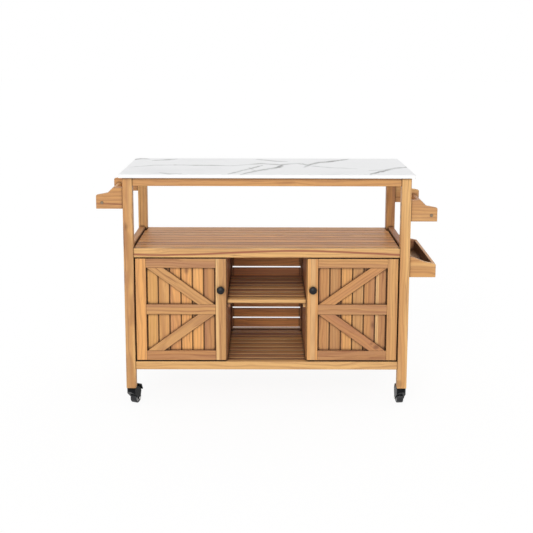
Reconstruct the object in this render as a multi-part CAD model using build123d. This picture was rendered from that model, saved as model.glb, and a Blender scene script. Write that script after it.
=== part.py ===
from build123d import *
import os
from math import atan2, cos, degrees, radians, sin, sqrt

# An outdoor bar cart: a wooden frame on four casters, with a stone worktop, an open shelf,
# a cabinet with two braced doors beside an open bay, a towel rack on each side
# and a spice rack below the right one.
# Lengths are in millimetres and angles in degrees. Seen from the front, X runs to the right,
# Y to the back and Z up. The origin is on the floor, under the middle of the frame.

# Whole cart
total_height = 914
frame_width = 1090
frame_depth = 487
caster_height = 72
edge_round = 1.5

# Worktop
slab_thickness = 14
slab_overhang = 12
slab_bevel = 1
worktop_batten_width = 40
worktop_batten_thickness = 18
worktop_batten_count = 3

# Posts and rails
post_size = 37
post_edge_round = 2.5
rail_thickness = 23
rail_setback = 4
apron_height = 32
shelf_rail_top = 628
shelf_rail_height = 35
bottom_rail_top = 180
bottom_rail_height = 32
rear_bottom_rail_top = 176

# Slatted shelf and cabinet floor
slat_drop = 9
slat_thickness = 12
slat_gap = 4.75
slat_count = 9
slat_end_gap = 5
post_clearance = 1
rail_clearance = 0.5
cleat_width = 20
cleat_height = 20
bearer_width = 40
bearer_height = 10

# Cabinet
bay_width = 307
partition_thickness = 18
back_board_height = 38
back_board_gap = 7
back_board_thickness = 12
side_batten_size = 18
back_batten_width = 20
bay_batten_width = 8
bay_batten_depth = 16

# Shelf of the open bay
bay_shelf_top = 421
bay_shelf_thickness = 14
bay_shelf_back_gap = 37.5
bay_shelf_gap = 8
bay_shelf_slat_count = 7
bay_shelf_setback = 2
bay_shelf_side_gap = 0.5
bay_cleat_width = 12
bay_cleat_height = 18
bay_cleat_inset = 7

# Doors
door_setback = 6
door_thickness = 20
door_gap = 5
door_reveal = 3
door_stop_gap = 1.5
stile_width = 40
top_door_rail_height = 36.5
middle_door_rail_height = 39
bottom_door_rail_height = 38
middle_door_rail_centre = 387.5
door_slat_thickness = 8
door_slat_recess = 1
door_slat_gap = 4.4
door_slat_count = 6
door_slat_lap = 12
door_tongue_thickness = 2.5
door_tongue_lap = 4
door_tongue_gap = 0.4
brace_width = 37
brace_end_gap = 4
brace_recess = 0.5

# Door pivots: a steel pin at each end of the outer stile, turning in a bush in the rail
pivot_from_edge = 9
pivot_pin_radius = 3
pivot_bush_radius = 5
pivot_collar_radius = 5
pivot_fit = 0.06
press_gap = 0.05
pivot_pin_in_stile = 20
pivot_pin_in_bush = 9
pivot_bush_length = 12
pivot_collar_gap = 0.2
pivot_hole_spare = 1

# Knobs and catches
knob_radius = 15
knob_height = 26
knob_neck_radius = 6.5
knob_foot_radius = 9
knob_foot_height = 2
knob_waist_height = 7
knob_flare_height = 12
knob_rim_low = 15
knob_rim_high = 19
knob_centre_height = 467.5
knob_screw_radius = 2
knob_screw_depth = 12
knob_hole_spare = 2
knob_screw_head_radius = 4
knob_screw_head_height = 2
catch_width = 11
catch_depth = 18
catch_height = 36
catch_below_shelf_rail = 17
catch_gap = 0.4
strike_width = 12
strike_height = 32
strike_thickness = 1.2
strike_sink = 1

# Racks on the sides
rack_reach = 101
arm_thickness = 20
arm_tip_height = 52
arm_dip_out = 56
arm_dip_height = 60.5
arm_dip_round = 18
arm_crest_out = 36
arm_crest_round = 10
arm_root_height = 82
left_arm_drop = 120
right_arm_drop = 167
bar_radius = 12.5
bar_from_tip = 22.5
bar_above_bottom = 23.5
spice_drop = 112
spice_end_tip_height = 51
spice_end_dip_out = 58
spice_end_dip_height = 59.5
spice_end_dip_round = 100
spice_end_crest_out = 12
spice_end_crest_round = 50
spice_end_root_height = 78
spice_board_thickness = 12
spice_floor_thickness = 10
rack_tip_round = 4
rack_foot_round = 2

# Screws of the racks
rack_screw_radius = 3
rack_screw_head_radius = 5.5
rack_screw_head_height = 3
rack_screw_sink = 2
rack_screw_bite = 30
screw_hole_gap = 0.1
screw_head_gap = 0.5
rack_screw_from_edge = 18

# Casters
wheel_radius = 21
wheel_width = 25
tread_thickness = 7
tread_edge_round = 3
hub_inset = 1
hub_ring_outer = 13
hub_ring_inner = 8
hub_ring_depth = 1.5
axle_radius = 3
axle_head_radius = 5
axle_head_height = 1.5
caster_trail = 27
fork_side_gap = 1.5
fork_leg_thickness = 4
fork_head_radius = 18.5
fork_top_gap = 0.5
fork_eye_radius = 6.5
fork_brow_length = 5
fork_nose_height = 12
fork_throat_out = 2
fork_throat_rise = 10
fork_boss_out = 4
fork_boss_rise = 6
fork_chin_out = 6.5
fork_chin_drop = 3
wheel_arch_gap = 3
stem_radius = 5
stem_in_post = 28
stem_hole_spare = 2
stem_flange_radius = 15
stem_flange_thickness = 3
kingpin_radius = 4
kingpin_head_radius = 6.5
kingpin_head_height = 3
kingpin_length = 14
kingpin_head_gap = 1
brake_pivot_out = 34
brake_pivot_height = 50
brake_barrel_radius = 4.5
brake_lobe_radius = 2.5
brake_lobe_reach = 5.9
brake_lobe_angle = 280
brake_pedal_thickness = 4
brake_pedal_rise = 21
brake_pedal_lean = 3
brake_pedal_step_length = 13
brake_pedal_step_drop = 3
brake_pedal_lip_out = 24
brake_pedal_lip_drop = 2
brake_side_gap = 0.6
brake_pin_radius = 2.4

# Way that each wheel trails at rest, as an angle from the X axis
caster_heading = {"front_left": 66, "front_right": 96, "rear_left": 80, "rear_right": 100}
braked_casters = ("front_left", "front_right")

# Places worked out from the sizes above
half_width = frame_width / 2
half_depth = frame_depth / 2
post_x = half_width - post_size / 2
post_y = half_depth - post_size / 2
inner_x = half_width - post_size
inner_y = half_depth - post_size
frame_top = total_height - slab_thickness
rail_outer_y = half_depth - rail_setback
rail_inner_y = rail_outer_y - rail_thickness
side_rail_outer_x = half_width - rail_setback
side_rail_inner_x = side_rail_outer_x - rail_thickness
apron_bottom = frame_top - apron_height
shelf_rail_bottom = shelf_rail_top - shelf_rail_height
bottom_rail_bottom = bottom_rail_top - bottom_rail_height
shelf_top = shelf_rail_top - slat_drop
shelf_under = shelf_top - slat_thickness
floor_top = bottom_rail_top - slat_drop
floor_under = floor_top - slat_thickness
bay_x = bay_width / 2
partition_x = bay_x + partition_thickness
door_front_y = -half_depth + door_setback
door_back_y = door_front_y + door_thickness
partition_front_y = door_back_y + door_stop_gap
bay_shelf_front_y = partition_front_y + bay_shelf_setback
bay_shelf_back_y = rail_inner_y - bay_shelf_back_gap
bay_shelf_under = bay_shelf_top - bay_shelf_thickness
door_outer_x = inner_x - door_gap
door_inner_x = bay_x + door_reveal
door_bottom = bottom_rail_top + door_gap
door_top = shelf_rail_bottom - door_gap
knob_x = door_inner_x + stile_width / 2
pivot_x = door_outer_x - pivot_from_edge
pivot_y = door_front_y + pivot_from_edge
rack_tip_x = half_width + rack_reach
left_arm_bottom = frame_top - left_arm_drop
right_arm_bottom = frame_top - right_arm_drop
spice_end_bottom = shelf_rail_top - spice_drop
bar_x = rack_tip_x - bar_from_tip
side_board_x = side_rail_inner_x + back_board_thickness
wheel_gap_half = wheel_width / 2 + fork_side_gap
fork_half_width = wheel_gap_half + fork_leg_thickness
fork_top = caster_height - stem_flange_thickness - fork_top_gap


# Helpers


def block(x_range, y_range, z_range):
    """A plain block between two corners."""
    sizes = [high - low for low, high in (x_range, y_range, z_range)]
    middle = [(low + high) / 2 for low, high in (x_range, y_range, z_range)]
    return Pos(*middle) * Box(*sizes)


def board(x_range, y_range, z_range, rounding=edge_round):
    """A straight piece of wood between two corners, with all its edges eased."""
    thinnest = min(high - low for low, high in (x_range, y_range, z_range))
    return fillet(block(x_range, y_range, z_range).edges(), min(rounding, thinnest / 4))


def mirrored(shape):
    """The same piece on the other side of the cart, left for right."""
    return mirror(shape, about=Plane.YZ)


def group(pieces):
    """Loose pieces of one kind that share a node."""
    return Compound(children=list(pieces))


def evenly(low, high, count, gap):
    """The ranges of a number of equal strips between two limits, with a gap between them."""
    width = (high - low - (count - 1) * gap) / count
    return [(low + i * (width + gap), low + i * (width + gap) + width) for i in range(count)]


def rod_z(x, y, z_range, radius):
    """An upright round rod."""
    low, high = z_range
    return Pos(x, y, (low + high) / 2) * Cylinder(radius, high - low)


def rod_y(x, y_range, z, radius):
    """A round rod that runs from front to back."""
    low, high = y_range
    return Pos(x, (low + high) / 2, z) * Rot(90, 0, 0) * Cylinder(radius, high - low)


def rod_x(x_range, y, z, radius):
    """A round rod that runs from side to side."""
    low, high = x_range
    return Pos((low + high) / 2, y, z) * Rot(0, 90, 0) * Cylinder(radius, high - low)


# Worktop and its frame


def worktop_slab():
    reach_x = half_width + slab_overhang
    reach_y = half_depth + slab_overhang
    slab = block((-reach_x, reach_x), (-reach_y, reach_y), (frame_top, total_height))
    return chamfer(slab.edges(), slab_bevel)


def top_apron(side):
    y_range = sorted((side * rail_inner_y, side * rail_outer_y))
    return board((-inner_x, inner_x), y_range, (apron_bottom, frame_top))


def worktop_battens():
    pitch = 2 * inner_x / (worktop_batten_count + 1)
    centres = [-inner_x + pitch * (i + 1) for i in range(worktop_batten_count)]
    half = worktop_batten_width / 2
    z_range = (frame_top - worktop_batten_thickness, frame_top)
    return [board((x - half, x + half), (-rail_inner_y, rail_inner_y), z_range) for x in centres]


# Frame of posts and rails


def rack_screw_heights(bottom, root_height):
    """Heights of the two screws that hold a rack piece to its post."""
    return bottom + rack_screw_from_edge, bottom + root_height - rack_screw_from_edge


def rack_screw_places():
    """Side, front or back, and height of every screw that holds a rack to a post."""
    left = rack_screw_heights(left_arm_bottom, arm_root_height)
    right = rack_screw_heights(right_arm_bottom, arm_root_height)
    spice = rack_screw_heights(spice_end_bottom, spice_end_root_height)
    places = [(-1, end, z) for end in (-1, 1) for z in left]
    return places + [(1, end, z) for end in (-1, 1) for z in right + spice]


def rack_screw_tool(side, end, z):
    """What is drilled for a rack screw: a through hole with a counterbore inside the post."""
    shank_end = half_width + rack_screw_bite + rack_screw_sink
    hole = rod_x((inner_x, shank_end), end * post_y, z, rack_screw_radius + screw_hole_gap)
    sink = inner_x + rack_screw_head_height + screw_head_gap
    head = rod_x((inner_x, sink), end * post_y, z, rack_screw_head_radius + screw_head_gap)
    tool = hole + head
    return tool if side > 0 else mirrored(tool)


def post(side, end):
    body = board(
        (post_x - post_size / 2, half_width),
        sorted((end * inner_y, end * half_depth)),
        (caster_height, frame_top),
        post_edge_round,
    )
    stem_hole = (caster_height, caster_height + stem_in_post + stem_hole_spare)
    body -= rod_z(post_x, end * post_y, stem_hole, stem_radius + screw_hole_gap)
    body = body if side > 0 else mirrored(body)
    for screw_side, screw_end, z in rack_screw_places():
        if (screw_side, screw_end) == (side, end):
            body -= rack_screw_tool(side, end, z)
    return body


def pivot_bush_hole(side, z_range):
    return rod_z(side * pivot_x, pivot_y, z_range, pivot_bush_radius + press_gap)


def shelf_rail_front():
    rail = board((-inner_x, inner_x), (-rail_outer_y, -rail_inner_y), (shelf_rail_bottom, shelf_rail_top))
    bush_range = (shelf_rail_bottom, shelf_rail_bottom + pivot_bush_length)
    for side in (-1, 1):
        rail -= pivot_bush_hole(side, bush_range)
    return rail


def shelf_rail_rear():
    return board((-inner_x, inner_x), (rail_inner_y, rail_outer_y), (shelf_rail_bottom, shelf_top))


def bottom_rail_front():
    rail = board((-inner_x, inner_x), (-rail_outer_y, -rail_inner_y), (bottom_rail_bottom, bottom_rail_top))
    bush_range = (bottom_rail_top - pivot_bush_length, bottom_rail_top)
    for side in (-1, 1):
        rail -= pivot_bush_hole(side, bush_range)
    return rail


def bottom_rail_rear():
    z_range = (bottom_rail_bottom, rear_bottom_rail_top)
    return board((-inner_x, inner_x), (rail_inner_y, rail_outer_y), z_range)


def side_rails():
    heights = (
        (apron_bottom, frame_top),
        (shelf_rail_bottom, shelf_rail_top),
        (bottom_rail_bottom, bottom_rail_top),
    )
    right = [board((side_rail_inner_x, side_rail_outer_x), (-inner_y, inner_y), z) for z in heights]
    return right + [mirrored(rail) for rail in right]


# Slatted shelf and floor


def long_slats(top):
    """Slats from side to side. The first and last stop between the posts, the rest near the rails."""
    y_ranges = evenly(-rail_inner_y + rail_clearance, rail_inner_y - rail_clearance, slat_count, slat_gap)
    slats = []
    for low, high in y_ranges:
        beside_post = low < -inner_y or high > inner_y
        reach = inner_x - post_clearance if beside_post else side_rail_inner_x - slat_end_gap
        slats.append(board((-reach, reach), (low, high), (top - slat_thickness, top)))
    return slats


def shelf_cleats():
    """Cleats under the shelf slats, and flat bearers under the floor slats."""
    x_range = (side_rail_inner_x - cleat_width, side_rail_inner_x)
    y_range = (-inner_y, inner_y)
    right = [
        board(x_range, y_range, (shelf_under - cleat_height, shelf_under)),
        board(x_range, y_range, (floor_under - bearer_height, floor_under)),
        board(
            (partition_x - bearer_width, partition_x),
            (-rail_inner_y, rail_inner_y),
            (floor_under - bearer_height, floor_under),
        ),
    ]
    return right + [mirrored(piece) for piece in right]


# Cabinet walls


def partitions():
    right = board((bay_x, partition_x), (partition_front_y, rail_inner_y), (floor_top, shelf_under))
    return [right, mirrored(right)]


def corner_battens():
    """Upright battens in the corners, which the back and side boards are screwed to."""
    batten_top = shelf_under - cleat_height
    side_x = (side_rail_inner_x - side_batten_size, side_rail_inner_x)
    right = [
        board(side_x, (-inner_y, -inner_y + side_batten_size), (floor_top, batten_top)),
        board(side_x, (inner_y - side_batten_size, inner_y), (floor_top, batten_top)),
        board((inner_x - back_batten_width, inner_x), (inner_y, rail_inner_y), (floor_top, shelf_under)),
        board(
            (bay_x - bay_batten_width, bay_x),
            (rail_inner_y - bay_batten_depth, rail_inner_y),
            (floor_top, shelf_under),
        ),
    ]
    return right + [mirrored(piece) for piece in right]


def wall_board_heights():
    """Height ranges of the horizontal boards that fill the back and the sides."""
    pitch = back_board_height + back_board_gap
    first = rear_bottom_rail_top + back_board_gap
    count = int((shelf_rail_bottom - first) / pitch)
    return [(first + i * pitch, first + i * pitch + back_board_height) for i in range(count)]


def back_boards():
    reach = inner_x - post_clearance
    y_range = (rail_inner_y, rail_inner_y + back_board_thickness)
    return [board((-reach, reach), y_range, z_range) for z_range in wall_board_heights()]


def side_boards():
    reach = inner_y - rail_clearance
    x_range = (side_rail_inner_x, side_board_x)
    right = [board(x_range, (-reach, reach), z_range) for z_range in wall_board_heights()]
    return right + [mirrored(piece) for piece in right]


# Shelf in the open bay


def bay_shelf_slats():
    reach = bay_x - bay_shelf_side_gap
    y_ranges = evenly(bay_shelf_front_y, bay_shelf_back_y, bay_shelf_slat_count, bay_shelf_gap)
    return [board((-reach, reach), y_range, (bay_shelf_under, bay_shelf_top)) for y_range in y_ranges]


def bay_shelf_cleats():
    y_range = (bay_shelf_front_y + bay_cleat_inset, bay_shelf_back_y - bay_cleat_inset)
    z_range = (bay_shelf_under - bay_cleat_height, bay_shelf_under)
    right = board((bay_x - bay_cleat_width, bay_x), y_range, z_range)
    return [right, mirrored(right)]


# Doors, made as the right one and mirrored for the left


def door_stiles():
    z_range = (door_bottom, door_top)
    y_range = (door_front_y, door_back_y)
    inner = board((door_inner_x, door_inner_x + stile_width), y_range, z_range)
    outer = board((door_outer_x - stile_width, door_outer_x), y_range, z_range)
    inner -= rod_y(knob_x, y_range, knob_centre_height, knob_screw_radius + screw_hole_gap)
    head_y = (door_back_y - knob_screw_head_height, door_back_y)
    inner -= rod_y(knob_x, head_y, knob_centre_height, knob_screw_head_radius + screw_head_gap)
    inner -= strike_plate_block(screw_hole_gap)
    for pin_range in pivot_pin_holes():
        outer -= rod_z(pivot_x, pivot_y, pin_range, pivot_pin_radius + press_gap)
    return [inner, outer]


def pivot_pin_holes():
    return (
        (door_bottom, door_bottom + pivot_pin_in_stile),
        (door_top - pivot_pin_in_stile, door_top),
    )


def door_panel_x():
    """The opening between the two stiles."""
    return door_inner_x + stile_width, door_outer_x - stile_width


def door_rails():
    """Top and bottom rails with a rebate behind for the slats, and a thin middle rail before them."""
    x_range = door_panel_x()
    y_range = (door_front_y, door_back_y)
    slat_front_y = door_back_y - door_slat_recess - door_slat_thickness
    top = board(x_range, y_range, (door_top - top_door_rail_height, door_top))
    bottom = board(x_range, y_range, (door_bottom, door_bottom + bottom_door_rail_height))
    low_end, high_end = door_slat_height()
    rebate_middle = (low_end + high_end) / 2
    rebate = Pos(sum(x_range) / 2, (slat_front_y + door_back_y) / 2, rebate_middle) * Box(
        x_range[1] - x_range[0], door_back_y - slat_front_y, high_end - low_end
    )
    half = middle_door_rail_height / 2
    middle_z = (middle_door_rail_centre - half, middle_door_rail_centre + half)
    middle = board(x_range, (door_front_y, slat_front_y), middle_z)
    return [top - rebate, middle, bottom - rebate]


def door_slat_height():
    low = door_bottom + bottom_door_rail_height - door_slat_lap
    high = door_top - top_door_rail_height + door_slat_lap
    return low, high


def door_slats():
    """Upright slats with a thin tongue behind, which laps the next slat and closes the gap before it."""
    low_x, high_x = door_panel_x()
    x_ranges = evenly(low_x + door_slat_gap, high_x - door_slat_gap, door_slat_count, door_slat_gap)
    back = door_back_y - door_slat_recess
    y_range = (back - door_slat_thickness, back)
    tongue_y = (back - door_tongue_thickness, back)
    rebate_y = (tongue_y[0] - door_tongue_gap, back)
    slats = []
    for number, (low, high) in enumerate(x_ranges):
        slat = board((low, high), y_range, door_slat_height())
        next_edge = high + door_slat_gap
        tongue_end = next_edge - door_tongue_gap
        if number < door_slat_count - 1:
            tongue_end = next_edge + door_tongue_lap
        slat += block((high - door_tongue_lap, tongue_end), tongue_y, door_slat_height())
        if number > 0:
            slat -= block((low, low + door_tongue_lap + door_tongue_gap), rebate_y, door_slat_height())
        else:
            stile_side = low - door_slat_gap + door_tongue_gap
            slat += block((stile_side, low + door_tongue_lap), tongue_y, door_slat_height())
        slats.append(slat)
    return slats


def brace_cut_width(run, rise):
    """Width of a brace along the rail, where its two ends are cut level across a slanted run."""
    square = brace_width**2
    spare = rise**2 - square
    root = sqrt((square * run) ** 2 + spare * square * (run**2 + rise**2))
    return (root - square * run) / spare


def door_braces():
    """Two slanted braces that meet the middle rail at the inner stile."""
    low_x, high_x = door_panel_x()
    inner, outer = low_x + brace_end_gap, high_x - brace_end_gap
    half = middle_door_rail_height / 2
    spans = (
        (middle_door_rail_centre + half, door_top - top_door_rail_height),
        (middle_door_rail_centre - half, door_bottom + bottom_door_rail_height),
    )
    front = door_front_y + brace_recess
    back = door_back_y - door_slat_recess - door_slat_thickness
    braces = []
    for near_z, far_z in spans:
        cut = brace_cut_width(outer - inner, abs(far_z - near_z))
        outline = [(inner, near_z), (inner + cut, near_z), (outer, far_z), (outer - cut, far_z)]
        face = Plane.XZ * make_face(Polyline(*outline, close=True))
        brace = Pos(0, back, 0) * extrude(face, back - front)
        braces.append(fillet(brace.faces().sort_by(Axis.Y)[0].edges(), edge_round))
    return braces


def door_knob():
    """A turned round knob with a domed face, a waisted neck and a wider foot."""
    bore = knob_screw_radius + screw_hole_gap
    depth = knob_screw_depth + knob_hole_spare
    foot = (knob_foot_radius, knob_foot_height)
    waist = (knob_neck_radius, knob_waist_height)
    flare = (knob_foot_radius, knob_flare_height)
    rim = (knob_radius, knob_rim_high)
    rise = knob_height - knob_rim_high
    dome_radius = (knob_radius**2 + rise**2) / (2 * rise)
    dome_middle = (knob_radius / 2, knob_height - dome_radius + sqrt(dome_radius**2 - knob_radius**2 / 4))
    outline = (
        Polyline((0, knob_height), (0, depth), (bore, depth), (bore, 0), (knob_foot_radius, 0), foot)
        + ThreePointArc(foot, waist, flare)
        + Polyline(flare, (knob_radius, knob_rim_low), rim)
        + ThreePointArc(rim, dome_middle, (0, knob_height))
    )
    solid = revolve(Plane.XZ * make_face(outline), Axis.Z)
    return Pos(knob_x, door_front_y, knob_centre_height) * Rot(90, 0, 0) * solid


def strike_plate_block(extra):
    """The steel strike plate let into the back of the inner stile, or the seat cut for it."""
    middle_z = shelf_rail_bottom - catch_below_shelf_rail - catch_height / 2
    depth = strike_thickness + extra
    sunk_y = door_back_y - strike_sink - extra
    return Pos(catch_x(), sunk_y + depth / 2, middle_z) * Box(
        strike_width + 2 * extra, depth, strike_height + 2 * extra
    )


def catch_x():
    return partition_x + catch_width / 2


def knob_screw():
    y_range = (door_front_y - knob_screw_depth, door_back_y - knob_screw_head_height)
    shank = rod_y(knob_x, y_range, knob_centre_height, knob_screw_radius)
    head_y = (door_back_y - knob_screw_head_height, door_back_y)
    return shank + rod_y(knob_x, head_y, knob_centre_height, knob_screw_head_radius)


def pivot_pins():
    """An upper pin, and a lower pin whose collar carries the door on its bush."""
    held = pivot_pin_in_stile - pivot_hole_spare
    upper_z = (door_top - held, shelf_rail_bottom + pivot_pin_in_bush)
    lower_z = (bottom_rail_top - pivot_pin_in_bush, door_bottom + held)
    upper = rod_z(pivot_x, pivot_y, upper_z, pivot_pin_radius)
    lower = rod_z(pivot_x, pivot_y, lower_z, pivot_pin_radius)
    lower += rod_z(pivot_x, pivot_y, (bottom_rail_top + pivot_collar_gap, door_bottom), pivot_collar_radius)
    return [upper, lower]


def door_metalwork():
    return pivot_pins() + [knob_screw(), strike_plate_block(0)]


def pivot_bushes():
    """Bushes in the rails above and below the outer stile of each door."""
    z_ranges = (
        (shelf_rail_bottom, shelf_rail_bottom + pivot_bush_length),
        (bottom_rail_top - pivot_bush_length, bottom_rail_top),
    )
    bushes = []
    for z_range in z_ranges:
        bush = rod_z(pivot_x, pivot_y, z_range, pivot_bush_radius)
        bush -= rod_z(pivot_x, pivot_y, z_range, pivot_pin_radius + pivot_fit)
        bushes += [bush, mirrored(bush)]
    return bushes


def door_catches():
    """Magnetic catches on the outer faces of the partitions, just behind the strike plates."""
    strike_face = door_back_y - strike_sink + strike_thickness
    front = strike_face + catch_gap
    top = shelf_rail_bottom - catch_below_shelf_rail
    x_range = (partition_x, partition_x + catch_width)
    right = board(x_range, (front, front + catch_depth), (top - catch_height, top))
    return [right, mirrored(right)]


# Racks


def rack_outline(tip_height, dip, dip_round, crest, crest_round):
    """Side view of a rack side, from its root on the post to its tip, with an S-shaped upper edge."""
    corners = {
        (0, 0): 0,
        (rack_reach, 0): rack_foot_round,
        (rack_reach, tip_height): rack_tip_round,
        dip: dip_round,
        crest: crest_round,
        (0, crest[1]): 0,
    }
    outline = make_face(Polyline(*corners, close=True))
    for corner, radius in corners.items():
        if radius > 0:
            outline = fillet(outline.vertices().sort_by_distance(corner)[0], radius)
    return outline


def rack_side(end, bottom, outline):
    """A right-hand rack side on the post at one end of the cart, with all its edges eased."""
    plate = extrude(Plane.XZ * outline, arm_thickness / 2, both=True)
    rims = plate.faces().sort_by(Axis.Y)
    plate = fillet(rims[0].edges() + rims[-1].edges(), edge_round)
    return Pos(half_width, end * post_y, bottom) * plate


def bar_bolt_tool(end, z, extra):
    """The bolt through an arm into its bar, or with some extra the hole for it."""
    face = post_y + arm_thickness / 2
    y_shank = sorted((end * (face - arm_thickness - rack_screw_bite - extra), end * face))
    head_top = face + rack_screw_head_height - rack_screw_sink
    y_head = sorted((end * (face - rack_screw_sink - extra), end * head_top))
    shank = rod_y(bar_x, y_shank, z, rack_screw_radius + extra)
    head_gap = screw_head_gap if extra else 0
    return shank + rod_y(bar_x, y_head, z, rack_screw_head_radius + head_gap)


def towel_rack(side, bottom):
    """Two arms and the round bar between them."""
    bar_z = bottom + bar_above_bottom
    dip = (arm_dip_out, arm_dip_height)
    crest = (arm_crest_out, arm_root_height)
    outline = rack_outline(arm_tip_height, dip, arm_dip_round, crest, arm_crest_round)
    arms = []
    for end in (-1, 1):
        arm = rack_side(end, bottom, outline)
        arm -= bar_bolt_tool(end, bar_z, screw_hole_gap)
        for z in rack_screw_heights(bottom, arm_root_height):
            arm -= rack_screw_tool(1, end, z)
        arms.append(arm)
    reach = post_y - arm_thickness / 2
    bar = rod_y(bar_x, (-reach, reach), bar_z, bar_radius)
    for end in (-1, 1):
        bar -= bar_bolt_tool(end, bar_z, screw_hole_gap)
    if side < 0:
        return [mirrored(arm) for arm in arms], mirrored(bar)
    return arms, bar


def spice_rack_ends():
    dip = (spice_end_dip_out, spice_end_dip_height)
    crest = (spice_end_crest_out, spice_end_root_height)
    outline = rack_outline(spice_end_tip_height, dip, spice_end_dip_round, crest, spice_end_crest_round)
    ends = []
    for end in (-1, 1):
        piece = rack_side(end, spice_end_bottom, outline)
        for z in rack_screw_heights(spice_end_bottom, spice_end_root_height):
            piece -= rack_screw_tool(1, end, z)
        ends.append(piece)
    return ends


def spice_rack_boards():
    """The outer board, the back board against the posts and the floor between them."""
    reach = post_y - arm_thickness / 2
    y_range = (-reach, reach)
    outer_top = spice_end_bottom + spice_end_tip_height
    back_top = spice_end_bottom + spice_end_root_height - edge_round
    outer_x = rack_tip_x - spice_board_thickness
    back_x = half_width + spice_board_thickness
    return [
        board((outer_x, rack_tip_x), y_range, (spice_end_bottom, outer_top)),
        board((half_width, back_x), y_range, (spice_end_bottom, back_top)),
        board((back_x, outer_x), y_range, (spice_end_bottom, spice_end_bottom + spice_floor_thickness)),
    ]


def rack_screws():
    """Screws from inside the posts into the racks, and bolts through the arms into the bars."""
    screws = []
    for side, end, z in rack_screw_places():
        head_end = inner_x + rack_screw_head_height
        screw = rod_x((head_end, half_width + rack_screw_bite), end * post_y, z, rack_screw_radius)
        screw += rod_x((inner_x, head_end), end * post_y, z, rack_screw_head_radius)
        screws.append(screw if side > 0 else mirrored(screw))
    for end in (-1, 1):
        screws.append(bar_bolt_tool(end, right_arm_bottom + bar_above_bottom, 0))
        screws.append(mirrored(bar_bolt_tool(end, left_arm_bottom + bar_above_bottom, 0)))
    return screws


# Casters, made at the origin with the wheel trailing along X


def caster_stem():
    """Stem in the post, flange against its foot and kingpin with a retaining head."""
    flange_bottom = caster_height - stem_flange_thickness
    kingpin_bottom = flange_bottom - kingpin_length
    stem = rod_z(0, 0, (caster_height, caster_height + stem_in_post), stem_radius)
    stem += rod_z(0, 0, (flange_bottom, caster_height), stem_flange_radius)
    stem += rod_z(0, 0, (kingpin_bottom, flange_bottom), kingpin_radius)
    return stem + rod_z(0, 0, (kingpin_bottom - kingpin_head_height, kingpin_bottom), kingpin_head_radius)


def caster_fork(braked):
    """Housing with a nose, an arch over the wheel and a leg down each side to the axle.

    Only a braked caster is drilled for the pin of its pedal.
    """
    outline = [
        (-fork_head_radius, fork_top),
        (fork_head_radius + fork_brow_length, fork_top),
        (brake_pivot_out + fork_boss_out, brake_pivot_height + fork_boss_rise),
        (brake_pivot_out + fork_chin_out, brake_pivot_height - fork_chin_drop),
        (caster_trail + fork_eye_radius, wheel_radius),
        (caster_trail - fork_eye_radius, wheel_radius),
        (fork_throat_out, wheel_radius + fork_eye_radius + fork_throat_rise),
        (-fork_head_radius, fork_top - fork_nose_height),
    ]
    body = extrude(Plane.XZ * make_face(Polyline(*outline, close=True)), fork_half_width, both=True)
    body += rod_y(caster_trail, (-fork_half_width, fork_half_width), wheel_radius, fork_eye_radius)
    tall = 2 * caster_height
    long = 2 * brake_pivot_out
    plan = Cylinder(fork_head_radius, tall) + Pos(long / 2, 0, 0) * Box(long, 2 * fork_half_width, tall)
    body = body & plan
    arch_radius = wheel_radius + wheel_arch_gap
    body -= rod_y(caster_trail, (-wheel_gap_half, wheel_gap_half), wheel_radius, arch_radius)
    body -= Pos(caster_trail, 0, 0) * Box(2 * arch_radius, 2 * wheel_gap_half, 2 * wheel_radius)
    body -= Pos(caster_trail + long / 2, 0, wheel_radius + tall / 2) * Box(long, 2 * wheel_gap_half, tall)
    cavity_top = caster_height - stem_flange_thickness - kingpin_length + kingpin_head_gap
    body -= rod_z(0, 0, (0, cavity_top), kingpin_head_radius + kingpin_head_gap)
    body -= rod_z(0, 0, (0, tall), kingpin_radius + pivot_fit)
    across = (-fork_half_width, fork_half_width)
    body -= rod_y(caster_trail, across, wheel_radius, axle_radius + press_gap)
    if braked:
        body -= rod_y(brake_pivot_out, across, brake_pivot_height, brake_pin_radius + pivot_fit)
    return body


def caster_axle():
    reach = fork_half_width
    axle = rod_y(caster_trail, (-reach, reach), wheel_radius, axle_radius)
    for side in (-1, 1):
        head = sorted((side * reach, side * (reach + axle_head_height)))
        axle += rod_y(caster_trail, head, wheel_radius, axle_head_radius)
    return axle


def caster_tread():
    half = wheel_width / 2
    ring = rod_y(caster_trail, (-half, half), wheel_radius, wheel_radius)
    ring = fillet(ring.edges(), tread_edge_round)
    return ring - rod_y(caster_trail, (-half, half), wheel_radius, wheel_radius - tread_thickness)


def caster_hub():
    """Hub with a sunk ring in each face round the boss of the axle."""
    half = wheel_width / 2 - hub_inset
    hub = rod_y(caster_trail, (-half, half), wheel_radius, wheel_radius - tread_thickness - press_gap)
    for side in (-1, 1):
        face = sorted((side * (half - hub_ring_depth), side * half))
        ring = rod_y(caster_trail, face, wheel_radius, hub_ring_outer)
        ring -= rod_y(caster_trail, face, wheel_radius, hub_ring_inner)
        hub -= ring
    return hub - rod_y(caster_trail, (-half, half), wheel_radius, axle_radius + pivot_fit)


def bent_plate(start, end, half_width):
    """One straight run of the pedal between two points of its side view, with a round at its far end."""
    run, rise = end[0] - start[0], end[1] - start[1]
    length = sqrt(run**2 + rise**2)
    middle = Pos((start[0] + end[0]) / 2, 0, (start[1] + end[1]) / 2)
    slope = Rot(0, -degrees(atan2(rise, run)), 0)
    flat = middle * slope * Box(length, 2 * half_width, brake_pedal_thickness)
    return flat + rod_y(end[0], (-half_width, half_width), end[1], brake_pedal_thickness / 2)


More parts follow.
